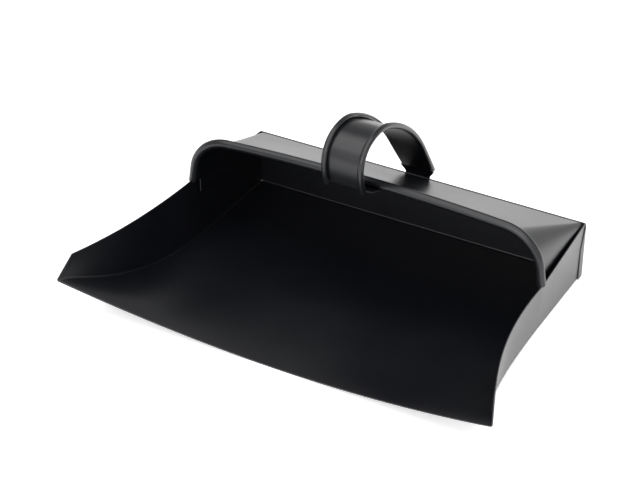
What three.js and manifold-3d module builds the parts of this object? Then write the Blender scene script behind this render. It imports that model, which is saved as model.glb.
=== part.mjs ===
// Hooded dustpan in painted sheet steel: a folded pan whose side creases sweep up and out
// to the front corners, a domed hood with a rolled front edge, and a strap handle with
// rolled sides. Millimetres, +Z up, with the mouth of the pan towards -Y. Shapes are drawn
// with y = 0 on the back wall's outer face; the finished group is then moved along Y so that
// the origin is on the ground, under the middle of the whole object.
import * as THREE from "three";
import Module from "manifold-3d";

const wasm = await Module();
wasm.setup();

// Sheet and fits
const SHEET = 0.9;
const HALF = SHEET / 2;
const GAP = 0.3;
const BEND = 1.6;
const OVERLAP = 0.3;

// Pan
const BACK_HALF_WIDTH = 150;
const WALL_HEIGHT = 50;
const SIDE_OUTER = BACK_HALF_WIDTH - SHEET;
const CREASE = {
  straightTo: -88,
  pull: new THREE.Vector3(150, -200, 0.5),
  rise: new THREE.Vector3(176, -232, 31.5),
  tip: new THREE.Vector3(184.6, -252.2, 31.5),
};
const WALL_TOP = {
  straightTo: new THREE.Vector3(155.6, -101, 51.5),
  pull: new THREE.Vector3(155, -176, 54.4),
  rise: new THREE.Vector3(169.3, -210.5, 50.5),
  corner: new THREE.Vector3(179, -238, 50),
};
const LIP_SWEEP = 21;
const STRAIGHT_STEPS = 4;
const CURVED_STEPS = 16;
const FLOOR_STEPS = 16;
const WALL_STEPS = 3;
const LAP = { width: 8.4, fullTo: 28, topWidth: 1.5, top: 46 };

// Hood
const BEAD_RADIUS = 3.6;
const ROLL_MID = BEAD_RADIUS - HALF;
const ROLL_SWEEP = THREE.MathUtils.degToRad(300);
const ROLL_STEPS = 13;
const ARCH = { y: -100.6, base: 51.8, foot: 40, halfWidth: 154.2, corner: 33.5, cornerTop: 94.8 };
const LEG_LEAN = THREE.MathUtils.degToRad(8);
const CROWN_SLOPE = THREE.MathUtils.degToRad(3.8);
const CORNER_STEPS = 9;
const CROWN_STEPS = 20;
const HOOD_BACK = { halfWidth: SIDE_OUTER - SHEET - GAP, y: -SHEET - GAP, bend: 3 };
const FLANGE_DEPTH = 15;
const CURL_CUT = { inward: 14.2, outward: 10.8, front: 12, back: 6, below: 5 };

// Handle: places on the strap's middle line are (y, z)
const STRAP = { frontHalf: 18, footHalf: 15.2, roll: 2.5, sweep: THREE.MathUtils.degToRad(235) };
const STRAP_ROLL_MID = STRAP.roll - HALF;
const TAPER_POWER = 3;
const HOOK_LOW = new THREE.Vector2(-108.1, 94.2);
const FRONT = new THREE.Vector2(-130.5, 125.7);
const LEG_FOOT = new THREE.Vector2(-1.1, 57.6);
const SHOULDER = { radius: 18.4, climb: THREE.MathUtils.degToRad(20) };
const CROWN = { radius: 40.2, climb: THREE.MathUtils.degToRad(-22.1) };
const LEG = { radius: 146.6, climb: THREE.MathUtils.degToRad(-54.7) };
const ROLLS_START = THREE.MathUtils.degToRad(53);
const HOOK = { halfWidth: 16.5, dip: new THREE.Vector2(-114, 98.4), lead: 1.5 };
const TAIL_LENGTH = 12;
const TAB = { halfWidth: 10.7, top: 51.2, foot: 31 };
const WIRE_SIDES = 10;

// Rivets at the foot of the handle
const RIVET = { x: 5, z: 38, shank: 2, head: 4, headRise: 1.6, tail: 3.1, tailFlat: 2.5, tailRise: 1.2 };
const RIVET_SIDES = 20;
const HEAD_STEPS = 5;

const PAINT = { color: 0x1d1e20, roughness: 0.42, metalness: 0.25 };
const WIRE_STEEL = { color: 0x8d9094, roughness: 0.35, metalness: 1 };

// ---- Solids from sheets ------------------------------------------------------

function solidFrom(points, faces) {
  const vertProperties = new Float32Array(points.flatMap((p) => [p.x, p.y, p.z]));
  const build = (list) =>
    new wasm.Manifold(new wasm.Mesh({ numProp: 3, vertProperties, triVerts: new Uint32Array(list.flat()) }));
  const made = build(faces);
  return made.volume() > 0 ? made : build(faces.map(([a, b, c]) => [a, c, b]));
}

function gridNormal(rows, i, j) {
  const last = rows.length - 1;
  const end = rows[0].length - 1;
  const along = rows[Math.min(i + 1, last)][j].clone().sub(rows[Math.max(i - 1, 0)][j]);
  const before = rows[i][j].clone().sub(rows[i][Math.max(j - 1, 0)]).normalize();
  const after = rows[i][Math.min(j + 1, end)].clone().sub(rows[i][j]).normalize();
  return along.cross(before.add(after)).normalize();
}

// A sheet of even thickness whose middle surface is a grid of points.
function sheetSolid(rows, half = HALF) {
  const count = rows.length;
  const width = rows[0].length;
  const points = [];
  for (const side of [1, -1]) {
    rows.forEach((row, i) => {
      row.forEach((p, j) => points.push(p.clone().addScaledVector(gridNormal(rows, i, j), side * half)));
    });
  }
  const at = (side, i, j) => side * count * width + i * width + j;
  const faces = [];
  const quad = (a, b, c, d) => faces.push([a, b, c], [a, c, d]);
  for (let i = 0; i < count - 1; i++) {
    for (let j = 0; j < width - 1; j++) {
      quad(at(0, i, j), at(0, i + 1, j), at(0, i + 1, j + 1), at(0, i, j + 1));
      quad(at(1, i, j), at(1, i, j + 1), at(1, i + 1, j + 1), at(1, i + 1, j));
    }
  }
  for (let i = 0; i < count - 1; i++) {
    quad(at(0, i, 0), at(1, i, 0), at(1, i + 1, 0), at(0, i + 1, 0));
    quad(at(0, i + 1, width - 1), at(1, i + 1, width - 1), at(1, i, width - 1), at(0, i, width - 1));
  }
  for (let j = 0; j < width - 1; j++) {
    quad(at(0, 0, j + 1), at(1, 0, j + 1), at(1, 0, j), at(0, 0, j));
    quad(at(0, count - 1, j), at(1, count - 1, j), at(1, count - 1, j + 1), at(0, count - 1, j + 1));
  }
  return solidFrom(points, faces);
}

// A round bar along a path of points, with flat ends.
function barSolid(path, radius) {
  const points = [];
  const faces = [];
  const side = new THREE.Vector3();
  path.forEach((p, i) => {
    const ahead = path[Math.min(i + 1, path.length - 1)];
    const tangent = ahead.clone().sub(path[Math.max(i - 1, 0)]).normalize();
    if (i === 0) side.set(Math.abs(tangent.y), 1 - Math.abs(tangent.y), 0);
    side.addScaledVector(tangent, -side.dot(tangent)).normalize();
    const up = tangent.clone().cross(side);
    for (let k = 0; k < WIRE_SIDES; k++) {
      const turn = (2 * Math.PI * k) / WIRE_SIDES;
      const out = side.clone().multiplyScalar(Math.cos(turn)).addScaledVector(up, Math.sin(turn));
      points.push(p.clone().addScaledVector(out, radius));
    }
  });
  for (let i = 0; i < path.length - 1; i++) {
    for (let k = 0; k < WIRE_SIDES; k++) {
      const next = (k + 1) % WIRE_SIDES;
      const a = i * WIRE_SIDES;
      const b = a + WIRE_SIDES;
      faces.push([a + k, a + next, b + next], [a + k, b + next, b + k]);
    }
  }
  const end = (path.length - 1) * WIRE_SIDES;
  for (let k = 1; k < WIRE_SIDES - 1; k++) {
    faces.push([0, k + 1, k], [end, end + k, end + k + 1]);
  }
  return solidFrom(points, faces);
}

function solidOfGeometry(geometry, place = new THREE.Matrix4()) {
  const loose = geometry.index ? geometry.toNonIndexed() : geometry.clone();
  const flat = loose.applyMatrix4(place).getAttribute("position");
  const seen = new Map();
  const points = [];
  const index = [];
  for (let i = 0; i < flat.count; i++) {
    const p = new THREE.Vector3().fromBufferAttribute(flat, i);
    const key = p.toArray().map((v) => v.toFixed(4)).join();
    if (!seen.has(key)) {
      seen.set(key, points.length);
      points.push(p);
    }
    index.push(seen.get(key));
  }
  const faces = [];
  for (let i = 0; i < index.length; i += 3) {
    const [a, b, c] = index.slice(i, i + 3);
    if (a !== b && b !== c && c !== a) faces.push([a, b, c]);
  }
  return solidFrom(points, faces);
}

function box(low, high) {
  const size = high.map((v, k) => v - low[k]);
  const middle = high.map((v, k) => (v + low[k]) / 2);
  return solidOfGeometry(new THREE.BoxGeometry(...size), new THREE.Matrix4().makeTranslation(...middle));
}

function rodAlongY(x, z, radius, fromY, toY) {
  const place = new THREE.Matrix4().makeTranslation(x, (fromY + toY) / 2, z);
  return solidOfGeometry(new THREE.CylinderGeometry(radius, radius, toY - fromY, RIVET_SIDES), place);
}

function node(name, solid, finish) {
  const made = solid.getMesh();
  const geometry = new THREE.BufferGeometry();
  geometry.setAttribute("position", new THREE.BufferAttribute(new Float32Array(made.vertProperties), 3));
  geometry.setIndex(new THREE.BufferAttribute(new Uint32Array(made.triVerts), 1));
  geometry.computeVertexNormals();
  const mesh = new THREE.Mesh(geometry, new THREE.MeshStandardMaterial(finish));
  mesh.name = name;
  return mesh;
}

const mirrored = (p, side) => new THREE.Vector3(side * p.x, p.y, p.z);

// ---- Pan ---------------------------------------------------------------------

// Crease and wall-top points at one station, on the right-hand side.
function panStations() {
  const crease = new THREE.CubicBezierCurve3(
    new THREE.Vector3(SIDE_OUTER - HALF, CREASE.straightTo, HALF),
    CREASE.pull,
    CREASE.rise,
    CREASE.tip,
  );
  const { straightTo, pull, rise, corner: frontCorner } = WALL_TOP;
  const top = new THREE.CubicBezierCurve3(straightTo, pull, rise, frontCorner);
  const backCrease = new THREE.Vector3(SIDE_OUTER - HALF, -HALF, HALF);
  const backTop = new THREE.Vector3(SIDE_OUTER - HALF, -HALF, WALL_HEIGHT);
  const stations = [];
  for (let i = 0; i < STRAIGHT_STEPS; i++) {
    const t = i / STRAIGHT_STEPS;
    stations.push({
      crease: backCrease.clone().lerp(crease.v0, t),
      top: backTop.clone().lerp(top.v0, t),
      sweep: 0,
    });
  }
  for (let i = 0; i <= CURVED_STEPS; i++) {
    const t = i / CURVED_STEPS;
    const corner = crease.getPoint(t);
    const forward = (corner.y - CREASE.straightTo) / (CREASE.tip.y - CREASE.straightTo);
    stations.push({ crease: corner, top: top.getPoint(t), sweep: LIP_SWEEP * Math.max(forward, 0) ** 1.5 });
  }
  return stations;
}

// The floor sags between its raised sides, and its front edge sweeps back in the middle.
function floorPoint({ crease, sweep }, s) {
  const dip = 1 - s * s;
  return new THREE.Vector3(crease.x * s, crease.y + sweep * dip, HALF + (crease.z - HALF) * (1 - dip));
}

function panRow(station) {
  const inset = 1 - BEND / station.crease.x;
  const half = (side) => {
    const corner = mirrored(station.crease, side);
    const top = mirrored(station.top, side);
    const up = top.clone().sub(corner).normalize();
    const inward = floorPoint(station, side * inset).sub(corner).normalize();
    const bend = [
      corner.clone().addScaledVector(up, BEND),
      corner.clone().addScaledVector(up.clone().add(inward), BEND * 0.29),
      corner.clone().addScaledVector(inward, BEND),
    ];
    const wall = [];
    for (let k = 0; k < WALL_STEPS; k++) wall.push(top.clone().lerp(bend[0], k / WALL_STEPS));
    return [...wall, ...bend];
  };
  const floor = [];
  for (let k = 1; k < FLOOR_STEPS; k++) {
    floor.push(floorPoint(station, THREE.MathUtils.lerp(-inset, inset, k / FLOOR_STEPS)));
  }
  return [...half(-1), ...floor, ...half(1).reverse()];
}

// The back wall's end, folded forward over the outside of a side wall.
function lapSolid(side) {
  const outline = new THREE.Shape();
  outline.moveTo(-HALF, 2 * OVERLAP);
  outline.lineTo(-LAP.width, 2 * OVERLAP);
  outline.lineTo(-LAP.width, LAP.fullTo);
  outline.lineTo(-LAP.topWidth, LAP.top);
  outline.lineTo(-HALF, LAP.top);
  const plate = new THREE.ExtrudeGeometry(outline, { depth: SHEET + OVERLAP, bevelEnabled: false });
  const start = side > 0 ? SIDE_OUTER - OVERLAP : -BACK_HALF_WIDTH;
  const place = new THREE.Matrix4().makeBasis(
    new THREE.Vector3(0, 1, 0),
    new THREE.Vector3(0, 0, 1),
    new THREE.Vector3(1, 0, 0),
  );
  return solidOfGeometry(plate, place.setPosition(start, 0, 0));
}

function rivetHoles() {
  return [-1, 1].map((side) => rodAlongY(side * RIVET.x, RIVET.z, RIVET.shank + GAP, -10, 10));
}

function panBody() {
  const rows = panStations().map(panRow);
  const half = BACK_HALF_WIDTH - OVERLAP;
  const back = box([-half, -SHEET, OVERLAP], [half, 0, WALL_HEIGHT - OVERLAP]);
  let pan = sheetSolid(rows).add(back);
  for (const side of [-1, 1]) pan = pan.add(lapSolid(side));
  for (const hole of rivetHoles()) pan = pan.subtract(hole);
  return pan;
}

// ---- Hood --------------------------------------------------------------------

// The rolled edge's centre line, right to left: leg, corner, shallow crown, and back down.
function archPoints(foot) {
  const legTop = ARCH.cornerTop - ARCH.corner * (1 - Math.sin(LEG_LEAN));
  const lean = (legTop - ARCH.base) * Math.tan(LEG_LEAN);
  const cornerX = ARCH.halfWidth - lean - ARCH.corner * Math.cos(LEG_LEAN);
  const cornerZ = ARCH.cornerTop - ARCH.corner;
  const right = [];
  if (foot < ARCH.base) right.push([ARCH.halfWidth, foot, 0]);
  right.push([ARCH.halfWidth, ARCH.base, 0.4]);
  for (let k = 0; k <= CORNER_STEPS; k++) {
    const turn = THREE.MathUtils.lerp(LEG_LEAN, Math.PI / 2 - CROWN_SLOPE, k / CORNER_STEPS);
    right.push([cornerX + ARCH.corner * Math.cos(turn), cornerZ + ARCH.corner * Math.sin(turn), turn]);
  }
  const [crownX, crownZ] = right[right.length - 1];
  const crown = [];
  for (let k = 1; k < CROWN_STEPS; k++) {
    const x = crownX * (1 - (2 * k) / CROWN_STEPS);
    crown.push([x, crownZ + (Math.tan(CROWN_SLOPE) * (crownX * crownX - x * x)) / (2 * crownX)]);
  }
  const left = right.map(([x, z]) => [-x, z]).reverse();
  return [...right, ...crown, ...left].map(([x, z]) => new THREE.Vector3(x, ARCH.y, z));
}

// Where each arch point's straight line across the hood ends, at the back wall.
function hoodBackPoint(front, index, count) {
  const half = HOOD_BACK.halfWidth - HALF;
  const top = WALL_HEIGHT - HALF;
  const bend = HOOD_BACK.bend;
  const side = Math.sign(front.x) || 1;
  const corner = ARCH.cornerTop - ARCH.corner;
  const y = HOOD_BACK.y - HALF;
  if (index === 0 || index === count - 1) return new THREE.Vector3(side * half, y, top - FLANGE_DEPTH);
  if (front.z <= ARCH.base) return new THREE.Vector3(side * half, y, top - 2 * bend);
  const cornerX = ARCH.halfWidth - ARCH.corner;
  if (Math.abs(front.x) >= cornerX) {
    const turn = Math.atan2(front.z - corner, Math.abs(front.x) - cornerX);
    return new THREE.Vector3(
      side * (half - bend + bend * Math.cos(turn)),
      y,
      top - bend + bend * Math.sin(turn),
    );
  }
  return new THREE.Vector3((front.x / cornerX) * (half - bend), y, top);
}

function hoodRow(arch, i) {
  const ahead = arch[Math.min(i + 1, arch.length - 1)];
  const tangent = ahead.clone().sub(arch[Math.max(i - 1, 0)]).normalize();
  const forward = new THREE.Vector3(0, -1, 0);
  const outward = tangent.clone().cross(forward).normalize();
  const centre = arch[i];
  const back = hoodBackPoint(centre, i, arch.length);
  const toFront = centre.clone().sub(back).normalize();
  const rise = Math.atan2(toFront.dot(outward), toFront.dot(forward));
  const around = (turn) =>
    centre
      .clone()
      .addScaledVector(forward, ROLL_MID * Math.cos(turn))
      .addScaledVector(outward, ROLL_MID * Math.sin(turn));
  const start = rise - Math.PI / 2;
  const row = [back, back.clone().lerp(around(start), 0.5)];
  for (let k = 0; k <= ROLL_STEPS; k++) row.push(around(start + (ROLL_SWEEP * k) / ROLL_STEPS));
  return row;
}

// The space round the foot of each leg, where the curl has been cut away below the wall's top.
function underCurl(side) {
  const across = [side * (ARCH.halfWidth - CURL_CUT.inward), side * (ARCH.halfWidth + CURL_CUT.outward)];
  const [left, right] = across.sort((a, b) => a - b);
  const low = [left, ARCH.y - CURL_CUT.front, ARCH.foot - CURL_CUT.below];
  return box(low, [right, ARCH.y + CURL_CUT.back, ARCH.base]);
}

function hood() {
  const arch = archPoints(ARCH.foot);
  const rows = arch.map((_, i) => hoodRow(arch, i));
  const half = HOOD_BACK.halfWidth - SHEET;
  const flangeFoot = [-half, HOOD_BACK.y - SHEET, WALL_HEIGHT - FLANGE_DEPTH];
  let made = sheetSolid(rows).add(box(flangeFoot, [half, HOOD_BACK.y, WALL_HEIGHT - HALF]));
  for (const side of [-1, 1]) made = made.subtract(underCurl(side));
  for (const hole of rivetHoles()) made = made.subtract(hole);
  return made;
}

function hoodWire() {
  const arch = archPoints(ARCH.base + 1);
  return barSolid(arch.slice(1, -1), ROLL_MID - HALF - GAP);
}

// ---- Handle ------------------------------------------------------------------

// The quarter turn from the hook's lowest point up to the strap's front.
function lowPoint(turn) {
  const reach = HOOK_LOW.x - FRONT.x;
  const rise = FRONT.y - HOOK_LOW.y;
  return new THREE.Vector2(HOOK_LOW.x - reach * Math.sin(turn), FRONT.y - rise * Math.cos(turn));
}

// An arc that carries on from a point, bending down from one climb angle to another.
function archOver(start, from, { radius, climb }, count) {
  const centre = start.clone().addScaledVector(new THREE.Vector2(Math.sin(from), -Math.cos(from)), radius);
  const points = [];
  for (let k = 1; k <= count; k++) {
    const angle = THREE.MathUtils.lerp(from, climb, k / count);
    points.push(centre.clone().addScaledVector(new THREE.Vector2(-Math.sin(angle), Math.cos(angle)), radius));
  }
  return points;
}

// The strap's middle line over the stretch with rolled edges, from the hook to the foot.
function rolledPath() {
  const points = [];
  for (let k = 0; k < 4; k++) points.push(lowPoint(THREE.MathUtils.lerp(ROLLS_START, Math.PI / 2, k / 4)));
  points.push(FRONT.clone());
  points.push(...archOver(FRONT, Math.PI / 2, SHOULDER, 6));
  points.push(...archOver(points[points.length - 1], SHOULDER.climb, CROWN, 5));
  points.push(...archOver(points[points.length - 1], CROWN.climb, LEG, 6));
  const knee = points[points.length - 1];
  for (let k = 1; k <= 3; k++) points.push(knee.clone().lerp(LEG_FOOT, k / 3));
  return points;
}

// Half of the strap's width at each point: even up to the front, then narrowing ever faster to the foot.
function halfWidths(path) {
  const front = path.findIndex((p) => p.distanceTo(FRONT) < GAP);
  let along = 0;
  const lengths = path.map((p, i) => {
    if (i > front) along += p.distanceTo(path[i - 1]);
    return along;
  });
  return lengths.map((v) => THREE.MathUtils.lerp(STRAP.frontHalf, STRAP.footHalf, (v / along) ** TAPER_POWER));
}

function hoodRise() {
  const top = archPoints(ARCH.base).find((p) => Math.abs(p.x) < 1e-6);
  return { top, angle: Math.atan2(top.z - ROLL_MID - WALL_HEIGHT, HOOD_BACK.y - top.y) };
}

// Below its rolls the strap bends back, runs under the bead and lies along the hood's underside.
function hookPath() {
  const { top, angle } = hoodRise();
  const below = ROLL_MID + SHEET + 2 * GAP;
  const under = new THREE.Vector2(top.y - Math.sin(angle) * below, top.z - Math.cos(angle) * below);
  const tail = new THREE.Vector2(Math.cos(angle), -Math.sin(angle));
  const rollsEnd = lowPoint(ROLLS_START);
  const inside = lowPoint(ROLLS_START + 0.1);
  const lead = rollsEnd.clone().sub(inside).setLength(HOOK.lead);
  const tailEnd = under.clone().addScaledVector(tail, TAIL_LENGTH);
  return [tailEnd, under, HOOK.dip, rollsEnd.clone().add(lead), rollsEnd, inside];
}

// The foot tab leaves the leg, clears the back wall's edge and lies down its outside.
function tabPath() {
  const back = GAP + HALF;
  const inLeg = LEG_FOOT.clone();
  inLeg.addScaledVector(new THREE.Vector2(Math.cos(LEG.climb), Math.sin(LEG.climb)), -GAP);
  return [
    inLeg,
    LEG_FOOT,
    new THREE.Vector2(back, TAB.top),
    new THREE.Vector2(back, (TAB.top + TAB.foot) / 2),
    new THREE.Vector2(back, TAB.foot),
  ];
}

function pathNormals(path) {
  return path.map((_, i) => {
    const way = path[Math.min(i + 1, path.length - 1)].clone().sub(path[Math.max(i - 1, 0)]).normalize();
    return new THREE.Vector2(-way.y, way.x);
  });
}

// The strap's cross-section: a flat web with both edges curled outwards.
function strapSection(halfWidth) {
  const edge = halfWidth - STRAP.roll;
  const steps = 9;
  const right = [];
  for (let k = 0; k <= steps; k++) {
    const turn = (STRAP.sweep * k) / steps;
    right.push([edge + STRAP_ROLL_MID * Math.sin(turn), STRAP_ROLL_MID * (1 - Math.cos(turn))]);
  }
  const left = right.map(([x, rise]) => [-x, rise]).reverse();
  return [...left, [0, 0], ...right];
}

const flatSection = (halfWidth) => [-1, 0, 1].map((k) => [k * halfWidth, 0]);

function sweepStrip(path, sections) {
  const normals = pathNormals(path);
  const side = normals[Math.floor(path.length / 2)].y > 0 ? 1 : -1;
  return path.map((p, i) => {
    const out = normals[i].clone().multiplyScalar(side);
    return sections[i].map(([x, rise]) => new THREE.Vector3(x, p.x + out.x * rise, p.y + out.y * rise));
  });
}

function handleStrap() {
  const rolled = rolledPath();
  const hook = hookPath();
  const tab = tabPath();
  const webHalf = STRAP.frontHalf - STRAP.roll;
  const hookSections = hook.map((_, i) => flatSection(i < hook.length - 2 ? HOOK.halfWidth : webHalf));
  const legHalves = [STRAP.footHalf - STRAP.roll, STRAP.footHalf];
  const tabSections = tab.map((_, i) => flatSection(legHalves[i] ?? TAB.halfWidth));
  let strap = sheetSolid(sweepStrip(rolled, halfWidths(rolled).map(strapSection)));
  strap = strap.add(sheetSolid(sweepStrip(hook, hookSections)));
  strap = strap.add(sheetSolid(sweepStrip(tab, tabSections)));
  for (const hole of rivetHoles()) strap = strap.subtract(hole);
  return strap;
}

function handleWire(side) {
  const path = rolledPath();
  const centres = halfWidths(path).map((half) => [[side * (half - STRAP.roll), STRAP_ROLL_MID]]);
  return barSolid(sweepStrip(path, centres).map(([p]) => p), STRAP_ROLL_MID - HALF - GAP);
}

// A round-headed rivet: its head outside the foot tab, its clinched tail inside the pan.
function rivet(side) {
  const seat = 2 * GAP + SHEET;
  const inner = HOOD_BACK.y - SHEET - GAP;
  const end = inner - RIVET.tailRise;
  const outline = [[0, end], [RIVET.tailFlat, end], [RIVET.tail, inner]];
  outline.push([RIVET.shank, inner], [RIVET.shank, seat], [RIVET.head, seat]);
  for (let k = 1; k < HEAD_STEPS; k++) {
    const turn = (k / HEAD_STEPS) * (Math.PI / 2);
    outline.push([RIVET.head * Math.cos(turn), seat + RIVET.headRise * Math.sin(turn)]);
  }
  outline.push([0, seat + RIVET.headRise]);
  const profile = outline.map(([r, y]) => new THREE.Vector2(r, y));
  const place = new THREE.Matrix4().makeTranslation(side * RIVET.x, 0, RIVET.z);
  return solidOfGeometry(new THREE.LatheGeometry(profile, RIVET_SIDES), place);
}

// ---- Assembly ----------------------------------------------------------------

const dustpan = new THREE.Group();
dustpan.name = "hooded_dustpan";
dustpan.add(
  node("pan_body", panBody(), PAINT),
  node("hood", hood(), PAINT),
  node("hood_edge_wire", hoodWire(), WIRE_STEEL),
  node("handle_strap", handleStrap(), PAINT),
  node("handle_edge_wire_left", handleWire(-1), WIRE_STEEL),
  node("handle_edge_wire_right", handleWire(1), WIRE_STEEL),
  node("handle_rivet_left", rivet(-1), PAINT),
  node("handle_rivet_right", rivet(1), PAINT),
);

const extent = new THREE.Box3().setFromObject(dustpan);
dustpan.position.y = -(extent.min.y + extent.max.y) / 2;

export default dustpan;
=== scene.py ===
"""Hooded dustpan in black powder-coated sheet steel, as fine sheet-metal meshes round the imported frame.

Shapes are worked out in millimetres, with y = 0 on the back wall's outer face and the mouth
towards -Y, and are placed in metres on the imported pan.
"""
import math

import bpy
import numpy as np
from mathutils import Matrix, Vector


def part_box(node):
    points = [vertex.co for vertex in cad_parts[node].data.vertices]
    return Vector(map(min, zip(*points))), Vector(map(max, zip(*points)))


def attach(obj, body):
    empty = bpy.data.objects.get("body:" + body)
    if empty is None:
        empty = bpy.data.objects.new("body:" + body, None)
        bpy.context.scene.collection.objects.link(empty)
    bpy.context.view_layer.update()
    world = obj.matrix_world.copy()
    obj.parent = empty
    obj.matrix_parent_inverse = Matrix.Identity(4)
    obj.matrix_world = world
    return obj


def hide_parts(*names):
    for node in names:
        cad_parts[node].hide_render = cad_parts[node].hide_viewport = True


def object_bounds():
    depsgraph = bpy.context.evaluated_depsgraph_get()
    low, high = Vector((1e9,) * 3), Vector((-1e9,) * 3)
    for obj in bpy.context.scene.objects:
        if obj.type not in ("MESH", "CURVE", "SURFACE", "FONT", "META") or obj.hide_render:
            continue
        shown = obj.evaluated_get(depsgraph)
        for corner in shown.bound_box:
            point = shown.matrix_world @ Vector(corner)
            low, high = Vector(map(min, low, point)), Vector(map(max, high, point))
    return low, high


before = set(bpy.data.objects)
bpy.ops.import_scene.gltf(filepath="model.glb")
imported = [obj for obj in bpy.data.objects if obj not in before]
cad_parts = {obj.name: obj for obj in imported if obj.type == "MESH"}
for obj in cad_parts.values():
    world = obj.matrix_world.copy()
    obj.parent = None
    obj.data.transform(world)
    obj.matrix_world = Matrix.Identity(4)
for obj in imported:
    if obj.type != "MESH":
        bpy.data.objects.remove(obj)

CAD_BOX = [list(corner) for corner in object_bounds()]
MM = 0.001
BODY = "root"
PAN_LOW, PAN_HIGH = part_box("pan_body")
ORIGIN = np.array([0.0, PAN_HIGH.y, PAN_LOW.z])

# Sheet
SHEET = 0.9
HALF = SHEET / 2
GAP = 0.3
BEND = 1.6
RIM_STEPS = 6

# Pan
BACK_HALF_WIDTH = 150.0
WALL_HEIGHT = 50.0
CREASE_X = BACK_HALF_WIDTH - SHEET - HALF
CREASE_STRAIGHT_TO = -88.0
CREASE = np.array([[CREASE_X, CREASE_STRAIGHT_TO, HALF], [150, -200, 0.5], [176, -232, 31.5], [184.6, -252.2, 31.5]])
WALL_TOP = np.array([[155.6, -101, 51.5], [155, -176, 54.4], [169.3, -210.5, 50.5], [179, -238, 50]])
LIP_SWEEP = 21.0
LAP = {"width": 8.4, "full_to": 28.0, "top_width": 1.5, "top": 46.0, "bottom": 0.6, "bend": 0.9}

# Hood
BEAD_RADIUS = 3.6
ROLL_MID = BEAD_RADIUS - HALF
ROLL_SWEEP = math.radians(300)
ARCH = {"y": -100.6, "base": 51.8, "foot": 40.0, "half_width": 154.2, "corner": 33.5, "corner_top": 94.8}
LEG_LEAN = math.radians(8)
CROWN_SLOPE = math.radians(3.8)
HOOD_BACK = {"half_width": BACK_HALF_WIDTH - 2 * SHEET - GAP, "y": -SHEET - GAP, "bend": 3.0}
FLANGE_DEPTH = 15.0
REAR_BEND = 1.5
CURL_CLEARANCE = 6.0

# Handle: places on the strap's middle line are (y, z)
STRAP = {"front_half": 18.0, "foot_half": 15.2, "roll": 2.5, "sweep": math.radians(235)}
STRAP_ROLL_MID = STRAP["roll"] - HALF
TAPER_POWER = 3
HOOK_LOW = np.array([-108.1, 94.2])
FRONT = np.array([-130.5, 125.7])
LEG_FOOT = np.array([-1.1, 57.6])
ARCS = ((18.4, math.radians(20)), (40.2, math.radians(-22.1)), (146.6, math.radians(-54.7)))
ROLLS_START = math.radians(53)
HOOK = {"half_width": 16.5, "dip": (-114.0, 98.4), "lead": 1.5}
TAIL_LENGTH = 12.0
TAB = {"half_width": 10.7, "top": 51.2, "foot": 31.0}
RIVET = {"x": 5.0, "z": 38.0, "shank": 2.0, "head": 4.0, "head_rise": 1.6, "tail": 3.1, "tail_rise": 1.2}


# ---- Mesh helpers -------------------------------------------------------------

def unit(v):
    v = np.asarray(v, float)
    return v / np.linalg.norm(v, axis=-1, keepdims=True)


def steps(count, support=0.0):
    """Even steps from 0 to 1, with one more close to each end where support is given."""
    even = np.linspace(0, 1, count + 1)
    return np.unique(np.concatenate([even, [support, 1 - support]]))


def bezier(points, t):
    a, b, c, d = points
    u = 1 - t
    return a * u**3 + 3 * b * u * u * t + 3 * c * u * t * t + d * t**3


def corner_arc(corner, first, second, radius, count):
    """Points that round a corner, from its first leg to its second, tangent to both."""
    turns = np.linspace(0, math.pi / 2, count + 1)
    return [corner + first * radius * (1 - math.sin(a)) + second * radius * (1 - math.cos(a)) for a in turns]


def make_object(name, points, faces, attributes=None):
    mesh = bpy.data.meshes.new(name)
    mesh.from_pydata((np.asarray(points, float) * MM + ORIGIN).tolist(), [], [list(map(int, f)) for f in faces])
    mesh.validate()
    for key, values in (attributes or {}).items():
        layer = mesh.attributes.new(key, "FLOAT", "POINT")
        layer.data.foreach_set("value", np.asarray(values, np.float32))
    mesh.polygons.foreach_set("use_smooth", [True] * len(mesh.polygons))
    mesh.update()
    piece = bpy.data.objects.new(name, mesh)
    bpy.context.scene.collection.objects.link(piece)
    return piece


class Patch:
    """A middle surface under construction: points, and quads between them."""

    def __init__(self):
        self.points = []
        self.quads = []

    def add(self, point):
        self.points.append(np.asarray(point, float))
        return len(self.points) - 1

    def row(self, points):
        return [self.add(p) for p in points]

    def fill(self, first, second):
        for a, b, c, d in zip(first, first[1:], second[1:], second):
            self.quads.append((a, b, c, d))


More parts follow.
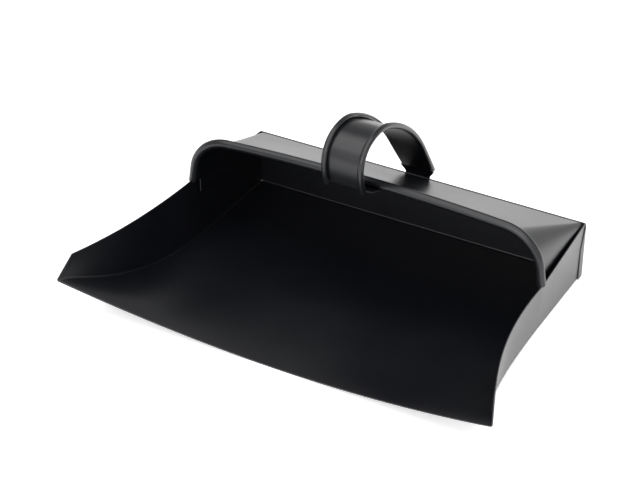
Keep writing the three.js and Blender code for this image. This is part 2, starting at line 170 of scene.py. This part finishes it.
def thick_sheet(name, patch, half=HALF):
    """A sheet of even thickness with half-round edges, from its middle surface."""
    points = np.array(patch.points)
    quads = np.array(patch.quads)
    flat = unit(np.cross(points[quads[:, 2]] - points[quads[:, 0]], points[quads[:, 3]] - points[quads[:, 1]]))
    normal = np.zeros_like(points)
    for k in range(4):
        np.add.at(normal, quads[:, k], flat)
    normal = unit(normal)
    spread = np.zeros(len(points))
    count = np.zeros(len(points))
    for k in range(4):
        np.add.at(spread, quads[:, k], (normal[quads[:, k]] * flat).sum(1))
        np.add.at(count, quads[:, k], 1)
    grow = np.clip(count / spread, 1, 1.4)[:, None]

    owner = {}
    for f, quad in enumerate(patch.quads):
        for k in range(4):
            owner[(quad[k], quad[(k + 1) % 4])] = f
    rim = [(a, b, f) for (a, b), f in owner.items() if (b, a) not in owner]
    outward = np.zeros_like(points)
    for a, b, f in rim:
        out = unit(np.cross(points[b] - points[a], flat[f]))
        outward[a] += out
        outward[b] += out
    edge = sorted({a for a, _, _ in rim})
    slot = {v: k for k, v in enumerate(edge)}
    out = outward[edge]
    side = normal[edge]
    out = unit(out - (out * side).sum(1, keepdims=True) * side)

    total = len(points)
    layers = [points + normal * half * grow, points - normal * half * grow]
    for s in range(1, RIM_STEPS):
        turn = math.pi * s / RIM_STEPS
        layers.append(points[edge] + half * (side * math.cos(turn) * grow[edge] + out * math.sin(turn)))

    def at(ring, v):
        if ring == 0:
            return v
        if ring == RIM_STEPS:
            return total + v
        return 2 * total + (ring - 1) * len(edge) + slot[v]

    faces = [tuple(q) for q in patch.quads]
    faces += [tuple(total + v for v in reversed(q)) for q in patch.quads]
    for a, b, _ in rim:
        for ring in range(RIM_STEPS):
            faces.append((at(ring, b), at(ring, a), at(ring + 1, a), at(ring + 1, b)))
    # The rim attribute marks the rounded edge faces, where the paint shader lays its painted edge highlight.
    rim_value = np.zeros(2 * total + (RIM_STEPS - 1) * len(edge))
    rim_value[2 * total:] = 1.0
    return make_object(name, np.concatenate(layers), faces, {"rim": rim_value})


def round_bar(name, path, radius, sides=24):
    """A round wire along a path, with domed ends."""
    path = np.asarray(path, float)
    tangent = unit(np.gradient(path, axis=0))
    rings = []
    for turn in np.linspace(math.pi / 2, 0, 6)[1:]:
        rings.append((path[0] - tangent[0] * radius * (math.sin(turn) - 1), radius * math.cos(turn), tangent[0]))
    rings[-1] = (path[0] + tangent[0] * radius, radius, tangent[0])
    inner = [k for k in range(len(path)) if radius * 1.2 < np.linalg.norm(path[k] - path[0])
             and radius * 1.2 < np.linalg.norm(path[k] - path[-1])]
    rings += [(path[k], radius, tangent[k]) for k in inner]
    for turn in np.linspace(0, math.pi / 2, 6)[:-1]:
        centre = path[-1] - tangent[-1] * radius * (1 - math.sin(turn))
        rings.append((centre, radius * math.cos(turn), tangent[-1]))
    points = []
    faces = []
    side = unit(np.cross(tangent[0], [0.31, 0.47, 0.83]))
    for centre, size, way in rings:
        side = unit(side - way * (side @ way))
        up = np.cross(way, side)
        for k in range(sides):
            turn = 2 * math.pi * k / sides
            points.append(centre + size * (side * math.cos(turn) + up * math.sin(turn)))
    for i in range(len(rings) - 1):
        for k in range(sides):
            a, b = i * sides + k, i * sides + (k + 1) % sides
            faces.append((a, b, b + sides, a + sides))
    points += [path[0], path[-1]]
    first, last = len(points) - 2, len(points) - 1
    end = (len(rings) - 1) * sides
    for k in range(sides):
        after = (k + 1) % sides
        faces.append((first, after, k))
        faces.append((last, end + k, end + after))
    return make_object(name, points, faces, {"rim": np.zeros(len(points))})


# ---- Pan ----------------------------------------------------------------------

STRAIGHT_ROWS = 30
CURVED_ROWS = 96
WALL_ROWS = 14
BEND_STEPS = 8
FLOOR_COLUMNS = 96


def pan_stations():
    """(crease, wall top, lip sweep) on the right-hand side, from the back to the lip."""
    back_crease = np.array([CREASE_X, -HALF, HALF])
    back_top = np.array([CREASE_X, -HALF, WALL_HEIGHT])
    start = BEND / -CREASE_STRAIGHT_TO
    stations = []
    for t in np.linspace(start, 1, STRAIGHT_ROWS, endpoint=False):
        crease = back_crease + (CREASE[0] - back_crease) * t
        stations.append((crease, back_top + (WALL_TOP[0] - back_top) * t, 0.0))
    end = 1 - HALF / (3 * np.linalg.norm(CREASE[3] - CREASE[2]))
    for t in np.append(np.linspace(0, end, CURVED_ROWS + 1)[:-1], [end - 0.006, end]):
        crease = bezier(CREASE, t)
        forward = max((crease[1] - CREASE_STRAIGHT_TO) / (CREASE[3][1] - CREASE_STRAIGHT_TO), 0.0)
        stations.append((crease, bezier(WALL_TOP, t), LIP_SWEEP * forward**1.5))
    return stations


def floor_point(station, s):
    """The floor sags between its raised sides, and its front edge sweeps back in the middle."""
    crease, _, sweep = station
    dip = 1 - s * s
    return np.array([crease[0] * s, crease[1] + sweep * dip, HALF + (crease[2] - HALF) * (1 - dip)])


def side_points(station, side):
    """One side wall's section, from its top edge down and round the crease."""
    mirror = np.array([side, 1, 1])
    corner = station[0] * mirror
    top = station[1] * mirror
    up = unit(top - corner)
    inset = 1 - BEND / station[0][0]
    inward = unit(floor_point(station, side * inset) - corner)
    start = top - up * HALF
    end = corner + up * BEND
    wall = [start + (end - start) * t for t in steps(WALL_ROWS, 0.012)]
    return wall[:-1] + corner_arc(corner, up, inward, BEND, BEND_STEPS)


def pan_row(station):
    inset = 1 - BEND / station[0][0]
    floor = [floor_point(station, s) for s in np.linspace(-inset, inset, FLOOR_COLUMNS + 1)[1:-1]]
    return side_points(station, -1) + floor + side_points(station, 1)[::-1]


def lap_columns(side):
    """(x, y, height of the top) of the columns that carry the back wall round a rear corner."""
    lap_x = CREASE_X + SHEET + 0.05
    bend = LAP["bend"]
    full = WALL_HEIGHT - HALF
    low = LAP["top"] - HALF
    columns = [(lap_x - bend - 0.7, -HALF, full), (lap_x - bend, -HALF, full)]
    for turn in np.linspace(0, math.pi / 2, 6)[1:]:
        x = lap_x - bend * (1 - math.sin(turn))
        y = -HALF - bend * (1 - math.cos(turn))
        columns.append((x, y, full + (low - full) * turn / (math.pi / 2)))
    fall = (LAP["top"] - LAP["full_to"]) / (LAP["width"] - LAP["top_width"])
    for depth in np.linspace(LAP["top_width"] + HALF, LAP["width"] - HALF, 7):
        columns.append((lap_x, -depth, low - (depth - LAP["top_width"]) * fall))
    return [(side * x, y, top) for x, y, top in columns]


def pan_body():
    patch = Patch()
    stations = pan_stations()
    rows = [patch.row(pan_row(station)) for station in stations]
    for first, second in zip(rows, rows[1:]):
        patch.fill(first, second)
    wall_count = len(side_points(stations[0], 1))

    # The side walls run on to the inside of the back wall.
    end_y = -(SHEET + HALF + 0.1)
    for columns in (range(0, wall_count - 1), range(len(rows[0]) - wall_count + 1, len(rows[0]))):
        kept = [rows[0][j] for j in columns]
        shifted = []
        for v in kept:
            p = patch.points[v].copy()
            p[1] = end_y
            shifted.append(patch.add(p))
        patch.fill(shifted, kept)

    # The floor folds up into the back wall.
    floor = rows[0][wall_count - 1:len(rows[0]) - wall_count + 1]
    xs = [patch.points[v][0] for v in floor]
    previous = floor
    for turn in np.linspace(0, math.pi / 2, BEND_STEPS + 1)[1:]:
        y = -HALF - BEND * (1 - math.sin(turn))
        z = HALF + BEND * (1 - math.cos(turn))
        current = patch.row([(x, y, z) for x in xs])
        patch.fill(current, previous)
        previous = current

    # The back wall, with its ends folded forward round the outside of the side walls.
    low = HALF + BEND
    left = lap_columns(-1)[::-1]
    right = lap_columns(1)
    first = patch.row([(x, y, low) for x, y, _ in left]) + previous + patch.row([(x, y, low) for x, y, _ in right])
    tops = [top for _, _, top in left] + [WALL_HEIGHT - HALF] * len(xs) + [top for _, _, top in right]
    places = [(x, y) for x, y, _ in left] + [(x, -HALF) for x in xs] + [(x, y) for x, y, _ in right]
    below = LAP["bottom"] + HALF
    for part in (slice(0, len(left)), slice(len(left) + len(xs), None)):
        kept = first[part]
        under = patch.row([(x, y, below) for x, y in places[part]])
        patch.fill(kept, under)
    previous = first
    for t in steps(16, 0.01)[1:]:
        current = patch.row([(x, y, low + (top - low) * t) for (x, y), top in zip(places, tops)])
        patch.fill(current, previous)
        previous = current
    return thick_sheet("pan_body_sheet", patch)


# ---- Hood ---------------------------------------------------------------------

LEG_ROWS = 10
CORNER_ROWS = 36
CROWN_ROWS = 120
CURL_STEPS = 40
CORNER_Z = ARCH["corner_top"] - ARCH["corner"]


def arch_points(foot):
    """The bead's centre line in x and z, right to left: leg, corner, shallow crown, and back down."""
    leg_top = ARCH["corner_top"] - ARCH["corner"] * (1 - math.sin(LEG_LEAN))
    reach = (leg_top - ARCH["base"]) * math.tan(LEG_LEAN)
    corner_x = ARCH["half_width"] - reach - ARCH["corner"] * math.cos(LEG_LEAN)
    right = []
    if foot < ARCH["base"]:
        right += [(ARCH["half_width"], z) for z in np.linspace(foot, ARCH["base"], LEG_ROWS, endpoint=False)]
    base = np.array([ARCH["half_width"], max(ARCH["base"], foot)])
    turns = np.linspace(LEG_LEAN, math.pi / 2 - CROWN_SLOPE, CORNER_ROWS + 1)
    corner = [(corner_x + ARCH["corner"] * math.cos(a), CORNER_Z + ARCH["corner"] * math.sin(a)) for a in turns]
    right += [tuple(base + (np.array(corner[0]) - base) * t) for t in np.linspace(0, 1, LEG_ROWS, endpoint=False)]
    right += corner
    crown_x, crown_z = corner[-1]
    crown = []
    for t in np.linspace(0, 1, CROWN_ROWS + 1)[1:-1]:
        x = crown_x * (1 - 2 * t)
        crown.append((x, crown_z + math.tan(CROWN_SLOPE) * (crown_x**2 - x * x) / (2 * crown_x)))
    return np.array(right + crown + [(-x, z) for x, z in reversed(right)])


def hood_back_point(x, z):
    """Where the hood's straight line from an arch point ends, inside the back wall."""
    half = HOOD_BACK["half_width"] - HALF
    top = WALL_HEIGHT - HALF
    bend = HOOD_BACK["bend"]
    y = HOOD_BACK["y"] - HALF
    side = 1 if x > 0 else -1
    centre_x = ARCH["half_width"] - ARCH["corner"]
    if z < ARCH["base"]:
        t = (z - ARCH["foot"]) / (ARCH["base"] - ARCH["foot"])
        return np.array([side * half, y, top - FLANGE_DEPTH + (FLANGE_DEPTH - 2 * bend) * t])
    if abs(x) >= centre_x:
        turn = math.atan2(z - CORNER_Z, abs(x) - centre_x)
        return np.array([side * (half - bend + bend * math.cos(turn)), y, top - bend + bend * math.sin(turn)])
    return np.array([x / centre_x * (half - bend), y, top])


def hood_lines(arch):
    """For each arch point: its centre, its back point, and the start and frame of its curl."""
    forward = np.array([0.0, -1.0, 0.0])
    centres = np.array([(x, ARCH["y"], z) for x, z in arch])
    tangents = unit(np.gradient(centres, axis=0))
    lines = []
    for centre, tangent in zip(centres, tangents):
        outward = unit(np.cross(tangent, forward))
        back = hood_back_point(centre[0], centre[2])
        way = unit(centre - back)
        start = math.atan2(way @ outward, way @ forward) - math.pi / 2
        lines.append((centre, back, forward, outward, start))
    return lines


def curl_points(line):
    centre, _, forward, outward, start = line
    turns = start + ROLL_SWEEP * np.linspace(0, 1, CURL_STEPS + 1)
    return [centre + ROLL_MID * (forward * math.cos(a) + outward * math.sin(a)) for a in turns]


def hood():
    patch = Patch()
    arch = arch_points(ARCH["foot"])
    lines = hood_lines(arch)
    cut = 1 - CURL_CLEARANCE / -ARCH["y"]
    skin_steps = np.unique(np.concatenate([np.linspace(0, cut, 24), [0.008, cut + 0.02, cut + 0.04]]))
    rows = []
    for line in lines:
        curl = curl_points(line)
        way = unit(curl[0] - line[1])
        back = line[1] + way * REAR_BEND
        skin = [back + (curl[0] - back) * t for t in skin_steps]
        rows.append(patch.row(skin + curl))
    cut_column = int(np.argmin(abs(skin_steps - cut)))
    legs = [z < ARCH["base"] - 1e-6 for _, z in arch]
    for i in range(len(rows) - 1):
        last = cut_column + 1 if legs[i] or legs[i + 1] else None
        patch.fill(rows[i][:last], rows[i + 1][:last])

    # The crown's rear edge turns down inside the back wall.
    centre_x = ARCH["half_width"] - ARCH["corner"]
    crown = [i for i, (x, _) in enumerate(arch) if abs(x) < centre_x]
    down = np.array([0.0, 0.0, -1.0])
    previous = [rows[i][0] for i in crown]
    corners = [lines[i][1] for i in crown]
    ways = [unit(patch.points[rows[i][0]] - lines[i][1]) for i in crown]
    arcs = [corner_arc(c, w, down, REAR_BEND, BEND_STEPS) for c, w in zip(corners, ways)]
    for k in range(1, BEND_STEPS + 1):
        current = patch.row([arc[k] for arc in arcs])
        patch.fill(previous, current)
        previous = current
    for depth in REAR_BEND + (FLANGE_DEPTH - REAR_BEND) * steps(4, 0.04)[1:]:
        current = patch.row([c + down * depth for c in corners])
        patch.fill(previous, current)
        previous = current
    return thick_sheet("hood_sheet", patch)


def hood_wire():
    arch = arch_points(ARCH["base"] + 1)
    return round_bar("hood_edge_wire_bar", [(x, ARCH["y"], z) for x, z in arch], ROLL_MID - HALF - GAP)


# ---- Handle -------------------------------------------------------------------

WEB_COLUMNS = 20
ROLL_COLUMNS = 26
HOOK_TAPER = 1.5
ARC_PITCH = 1.2


def low_point(turn):
    """A point on the quarter of an ellipse that carries the strap up from the hook to its front."""
    reach = HOOK_LOW[0] - FRONT[0]
    rise = FRONT[1] - HOOK_LOW[1]
    return np.array([HOOK_LOW[0] - reach * math.sin(turn), FRONT[1] - rise * math.cos(turn)])


def heading(fall):
    return np.array([math.cos(fall), -math.sin(fall)])


def arc_over(start, climb, radius, end):
    """An arc that carries on from a point, bending down from one climb angle to another."""
    centre = start + radius * np.array([math.sin(climb), -math.cos(climb)])
    count = max(8, round(radius * (climb - end) / ARC_PITCH))
    angles = np.linspace(climb, end, count + 1)[1:]
    return [centre + radius * np.array([-math.sin(a), math.cos(a)]) for a in angles]


def grip_path():
    """The strap's middle line in y and z over the stretch with rolled edges."""
    climb = math.pi / 2
    points = [low_point(a) for a in np.linspace(ROLLS_START, climb, 24)]
    for radius, end in ARCS:
        points += arc_over(points[-1], climb, radius, end)
        climb = end
    knee = points[-1]
    return points + [knee + (LEG_FOOT - knee) * t for t in np.linspace(0, 1, 30)[1:]]


def rounded_line(corners, radius, pitch=0.8):
    """A line through corners, each rounded, with points about a pitch apart."""
    corners = [np.asarray(c, float) for c in corners]
    points = [corners[0]]
    for before, corner, after in zip(corners, corners[1:], corners[2:]):
        points += corner_arc(corner, unit(before - corner), unit(after - corner), radius, 8)
    points.append(corners[-1])
    dense = [points[0]]
    for a, b in zip(points, points[1:]):
        count = max(1, round(np.linalg.norm(b - a) / pitch))
        dense += [a + (b - a) * k / count for k in range(1, count + 1)]
    return dense


def hook_path():
    """Below its rolls the strap bends back, passes under the bead and lies along the hood's underside."""
    crown = arch_points(ARCH["base"] + 1)
    top_z = crown[:, 1].max()
    angle = math.atan2(top_z - ROLL_MID - WALL_HEIGHT, HOOD_BACK["y"] - ARCH["y"])
    below = ROLL_MID + SHEET + 2 * GAP
    under = np.array([ARCH["y"] - math.sin(angle) * below, top_z - math.cos(angle) * below])
    tail = under + heading(angle) * TAIL_LENGTH
    rolls_end = low_point(ROLLS_START)
    lead = rolls_end + unit(rolls_end - low_point(ROLLS_START + 0.01)) * HOOK["lead"]
    near = rounded_line([tail, under, HOOK["dip"], (np.array(HOOK["dip"]) + lead) / 2], 2.5, 0.6)
    return near + rounded_line([near[-1], lead, rolls_end], 1.2, 0.4)[1:-1]


def tab_path():
    """The strap's foot clears the back wall's edge and lies down its outside."""
    back = GAP + HALF
    corners = [LEG_FOOT, (back, TAB["top"]), (back, TAB["foot"] + HALF)]
    return rounded_line(corners, 2.0, 0.5)[1:]


def handle_path():
    """The whole strap's middle line, with the first and last point of its rolled stretch."""
    hook, grip, tab = hook_path(), grip_path(), tab_path()
    path = np.array(hook + grip + tab)
    return path, len(hook), len(hook) + len(grip) - 1


def path_outward(path):
    way = unit(np.gradient(path, axis=0))
    return np.stack([-way[:, 1], way[:, 0]], axis=1)


def path_lengths(path):
    return np.concatenate([[0], np.cumsum(np.linalg.norm(np.diff(path, axis=0), axis=1))])


def web_half_widths(path, first, last):
    """Half of the flat web's width: even up to the front, narrowing to the foot, less at both ends."""
    along = path_lengths(path)
    front = int(np.argmin(np.linalg.norm(path - FRONT, axis=1)))
    back = np.clip((along - along[front]) / (along[last] - along[front]), 0, 1)
    halves = STRAP["front_half"] + (STRAP["foot_half"] - STRAP["front_half"]) * back**TAPER_POWER - STRAP["roll"]
    for k in range(first):
        ease = min((along[first] - along[k]) / HOOK_TAPER, 1.0)
        halves[k] += (HOOK["half_width"] - halves[k]) * ease
    top = last + int(np.argmax(path[last:, 1] <= TAB["top"]))
    for k in range(last + 1, len(path)):
        fall = min((along[k] - along[last]) / (along[top] - along[last]), 1.0)
        halves[k] = STRAP["foot_half"] + (TAB["half_width"] - STRAP["foot_half"]) * fall
    return halves


def handle_strap():
    patch = Patch()
    path, first, last = handle_path()
    outward = path_outward(path)
    halves = web_half_widths(path, first, last)
    web = np.linspace(-1, 1, WEB_COLUMNS + 1)
    turns = STRAP["sweep"] * np.linspace(0, 1, ROLL_COLUMNS + 1)[1:]
    rows = []
    for k, (p, out, half) in enumerate(zip(path, outward, halves)):
        section = [(x * half, 0.0) for x in web]
        if first <= k <= last:
            right = [(half + STRAP_ROLL_MID * math.sin(a), STRAP_ROLL_MID * (1 - math.cos(a))) for a in turns]
            section = [(-x, rise) for x, rise in reversed(right)] + section + right
        rows.append(patch.row([(x, p[0] + out[0] * rise, p[1] + out[1] * rise) for x, rise in section]))
    for k in range(len(rows) - 1):
        a, b = rows[k], rows[k + 1]
        if not (first <= k and k + 1 <= last):
            a = a[ROLL_COLUMNS:-ROLL_COLUMNS] if len(a) > len(web) else a
            b = b[ROLL_COLUMNS:-ROLL_COLUMNS] if len(b) > len(web) else b
        patch.fill(a, b)
    return thick_sheet("handle_strap_band", patch)


def handle_wire(name, side):
    path, first, last = handle_path()
    rolled = slice(first, last + 1)
    line = path[rolled] + path_outward(path)[rolled] * STRAP_ROLL_MID
    halves = web_half_widths(path, first, last)[rolled]
    points = [(side * half, y, z) for half, (y, z) in zip(halves, line)]
    return round_bar(name, points, STRAP_ROLL_MID - HALF - GAP, 18)


def rivet(name, side):
    """A round-headed rivet: the head outside the strap's tab, the clinched tail inside the pan."""
    seat = 2 * GAP + SHEET
    inner = HOOD_BACK["y"] - SHEET - GAP
    tail = RIVET["tail"]
    outline = [(0, inner - RIVET["tail_rise"])]
    outline += [(tail * 0.55 * t, inner - RIVET["tail_rise"]) for t in (0.5, 1)]
    for turn in np.linspace(0, math.pi / 2, 8)[1:]:
        outline.append((tail * (0.55 + 0.45 * math.sin(turn)), inner - RIVET["tail_rise"] * math.cos(turn)))
    outline += [(RIVET["shank"], inner), (RIVET["shank"], seat), (RIVET["head"] - 0.25, seat)]
    for turn in np.linspace(0.12, math.pi / 2, 14):
        outline.append((RIVET["head"] * math.cos(turn), seat + RIVET["head_rise"] * math.sin(turn)))
    sides = 48
    points = [(side * RIVET["x"], outline[0][1], RIVET["z"])]
    for r, y in outline[1:-1]:
        for k in range(sides):
            turn = 2 * math.pi * k / sides
            points.append((side * RIVET["x"] + r * math.cos(turn), y, RIVET["z"] + r * math.sin(turn)))
    points.append((side * RIVET["x"], outline[-1][1], RIVET["z"]))
    faces = []
    rings = len(outline) - 2
    for k in range(sides):
        after = (k + 1) % sides
        faces.append((0, 1 + k, 1 + after))
        for i in range(rings - 1):
            a = 1 + i * sides
            faces.append((a + k, a + sides + k, a + sides + after, a + after))
        end = 1 + (rings - 1) * sides
        faces.append((len(points) - 1, end + after, end + k))
    return make_object(name, points, faces, {"rim": np.zeros(len(points))})


# ---- Materials ----------------------------------------------------------------

DARK_PAINT = (0.0019, 0.0022, 0.0036)
LIGHT_PAINT = (0.0030, 0.0033, 0.0048)
POOL_RADIUS = (0.5, 1.7)
POOL_GLOW = (0.5, 0.4)


def shader(name):
    material = bpy.data.materials.new(name)
    material.use_nodes = True
    tree = material.node_tree
    bsdf = next(n for n in tree.nodes if n.type == "BSDF_PRINCIPLED")
    return material, tree, bsdf


def link_noise(tree, scale, detail, roughness):
    place = next((n for n in tree.nodes if n.type == "TEX_COORD"), None) or tree.nodes.new("ShaderNodeTexCoord")
    noise = tree.nodes.new("ShaderNodeTexNoise")
    noise.inputs["Scale"].default_value = scale
    noise.inputs["Detail"].default_value = detail
    noise.inputs["Roughness"].default_value = roughness
    tree.links.new(place.outputs["Object"], noise.inputs["Vector"])
    return noise.outputs["Fac"]


def ramp(tree, value, low, high, out_low, out_high):
    node = tree.nodes.new("ShaderNodeMapRange")
    for key, number in (("From Min", low), ("From Max", high), ("To Min", out_low), ("To Max", out_high)):
        node.inputs[key].default_value = number
    tree.links.new(value, node.inputs["Value"])
    return node.outputs["Result"]


def blend_colour(tree, factor, first, second):
    """A mix of two colours, each given as a value or as a socket."""
    node = tree.nodes.new("ShaderNodeMix")
    node.data_type = "RGBA"
    for socket, colour in ((node.inputs[6], first), (node.inputs[7], second)):
        if isinstance(colour, tuple):
            socket.default_value = (*colour, 1)
        else:
            tree.links.new(colour, socket)
    tree.links.new(factor, node.inputs[0])
    return node.outputs[2]


def bump(tree, height, distance, strength, under=None):
    node = tree.nodes.new("ShaderNodeBump")
    node.inputs["Distance"].default_value = distance
    node.inputs["Strength"].default_value = strength
    tree.links.new(height, node.inputs["Height"])
    if under is not None:
        tree.links.new(under, node.inputs["Normal"])
    return node.outputs["Normal"]


def powder_coat():
    """Satin black powder coat: faint orange peel, fine grain, uneven gloss, and the cut edges lightened by a painted
    highlight over their thinner paint.
    """
    material, tree, bsdf = shader("black_powder_coat")
    cloud = link_noise(tree, 9, 3, 0.55)
    peel = link_noise(tree, 620, 2, 0.4)
    grain = link_noise(tree, 2600, 2, 0.6)
    rim = tree.nodes.new("ShaderNodeAttribute")
    rim.attribute_name = "rim"
    body = blend_colour(tree, ramp(tree, cloud, 0.3, 0.7, 0, 1), DARK_PAINT, LIGHT_PAINT)
    # Painted highlight: the rounded cut edges are lightened towards grey to stand in for the light they catch, over
    # the thinner paint there.
    edge = ramp(tree, rim.outputs["Fac"], 0.2, 1.0, 0, 0.6)
    tree.links.new(blend_colour(tree, edge, body, (0.05, 0.05, 0.054)), bsdf.inputs["Base Color"])
    tree.links.new(ramp(tree, cloud, 0.25, 0.75, 0.29, 0.36), bsdf.inputs["Roughness"])
    under = bump(tree, peel, 0.00012, 0.6)
    tree.links.new(bump(tree, grain, 0.00004, 0.3, under), bsdf.inputs["Normal"])
    bsdf.inputs["IOR"].default_value = 1.5
    return material


def drawn_steel():
    """Grey drawn wire with fine length-wise streaks and a little paint mist."""
    material, tree, bsdf = shader("drawn_steel")
    streak = link_noise(tree, 1500, 3, 0.6)
    mist = link_noise(tree, 60, 3, 0.6)
    colour = blend_colour(tree, ramp(tree, mist, 0.45, 0.7, 0, 1), (0.26, 0.27, 0.28), (0.05, 0.05, 0.055))
    tree.links.new(colour, bsdf.inputs["Base Color"])
    tree.links.new(ramp(tree, streak, 0.3, 0.7, 0.3, 0.5), bsdf.inputs["Roughness"])
    tree.links.new(bump(tree, streak, 0.00003, 0.4), bsdf.inputs["Normal"])
    bsdf.inputs["Metallic"].default_value = 1.0
    return material


def pale_floor():
    """A matt white sweep, lit through from below in a wide pool round the object."""
    material, tree, bsdf = shader("pale_floor")
    place = tree.nodes.new("ShaderNodeTexCoord")
    reach = tree.nodes.new("ShaderNodeVectorMath")
    reach.operation = "LENGTH"
    tree.links.new(place.outputs["Object"], reach.inputs[0])
    tree.links.new(ramp(tree, reach.outputs["Value"], *POOL_RADIUS, *POOL_GLOW), bsdf.inputs["Emission Strength"])
    bsdf.inputs["Emission Color"].default_value = (1, 1, 1, 1)
    cloud = link_noise(tree, 2, 2, 0.5)
    tree.links.new(blend_colour(tree, cloud, (0.80, 0.80, 0.80), (0.82, 0.82, 0.82)), bsdf.inputs["Base Color"])
    bsdf.inputs["Roughness"].default_value = 0.9
    return material


# ---- Studio -------------------------------------------------------------------

CAMERA_TARGET = (-18.5, -132.6, 54.8)
CAMERA_DISTANCE = 1546.9
CAMERA_AZIMUTH = math.radians(28.53)
CAMERA_ELEVATION = math.radians(32.83)
CAMERA_ROLL = math.radians(0.6)
CAMERA_LENS = 112.18
SENSOR_WIDTH = 36.0


def aim(obj, location, target, roll=0.0):
    away = (Vector(location) - Vector(target)).normalized()
    turn = away.to_track_quat("Z", "Y").to_matrix() @ Matrix.Rotation(roll, 3, "Z")
    obj.matrix_world = Matrix.Translation(location) @ turn.to_4x4()


def placed(point):
    return Vector((np.asarray(point, float) * MM + ORIGIN).tolist())


def camera():
    data = bpy.data.cameras.new("camera")
    data.lens = CAMERA_LENS
    data.sensor_width = SENSOR_WIDTH
    data.sensor_fit = "HORIZONTAL"
    data.clip_end = 20
    view = bpy.data.objects.new("camera", data)
    bpy.context.scene.collection.objects.link(view)
    target = placed(CAMERA_TARGET)
    level = math.cos(CAMERA_ELEVATION)
    away = Vector((level * math.sin(CAMERA_AZIMUTH), -level * math.cos(CAMERA_AZIMUTH), math.sin(CAMERA_ELEVATION)))
    aim(view, target + away * CAMERA_DISTANCE * MM, target, CAMERA_ROLL)
    bpy.context.scene.camera = view


def softbox(name, location, size, power):
    data = bpy.data.lights.new(name, "AREA")
    data.shape = "RECTANGLE"
    data.size, data.size_y = size
    data.energy = power
    lamp = bpy.data.objects.new(name, data)
    bpy.context.scene.collection.objects.link(lamp)
    aim(lamp, Vector(location), Vector((0, 0, 0.04)))


def studio():
    scene = bpy.context.scene
    scene.view_settings.view_transform = "Standard"
    world = bpy.data.worlds.new("studio")
    world.use_nodes = True
    tree = world.node_tree
    split = tree.nodes.new("ShaderNodeSeparateXYZ")
    tree.links.new(tree.nodes.new("ShaderNodeTexCoord").outputs["Generated"], split.inputs[0])
    backdrop = tree.nodes["Background"]
    backdrop.inputs["Color"].default_value = (1.0, 1.0, 1.0, 1)
    tree.links.new(ramp(tree, split.outputs["Z"], 0.1, 0.9, 0.75, 0.3), backdrop.inputs["Strength"])
    scene.world = world
    softbox("overhead", (0.0, -0.4, 2.0), (3.6, 3.0), 78)
    softbox("front", (0.3, -2.3, 1.1), (2.2, 1.3), 35)
    softbox("right_side", (2.0, -0.3, 1.0), (1.6, 1.2), 6)
    floor_size = 6.0
    low = CAD_BOX[0][2] - 0.0002
    corners = [(x * floor_size, y * floor_size, low) for x, y in ((-1, -1), (1, -1), (1, 1), (-1, 1))]
    mesh = bpy.data.meshes.new("floor")
    mesh.from_pydata(corners, [], [(0, 1, 2, 3)])
    floor = bpy.data.objects.new("floor", mesh)
    scene.collection.objects.link(floor)
    mesh.materials.append(pale_floor())


# ---- Assembly -----------------------------------------------------------------

def fit(piece, node, material):
    piece.data.materials.append(material)
    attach(piece, BODY)
    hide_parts(node)


camera()
studio()
PAINT = powder_coat()
STEEL = drawn_steel()
fit(pan_body(), "pan_body", PAINT)
fit(hood(), "hood", PAINT)
fit(hood_wire(), "hood_edge_wire", STEEL)
fit(handle_strap(), "handle_strap", PAINT)
for word, sign in (("left", -1), ("right", 1)):
    fit(handle_wire(f"handle_edge_wire_{word}_bar", sign), f"handle_edge_wire_{word}", STEEL)
    fit(rivet(f"handle_rivet_{word}_body", sign), f"handle_rivet_{word}", PAINT)
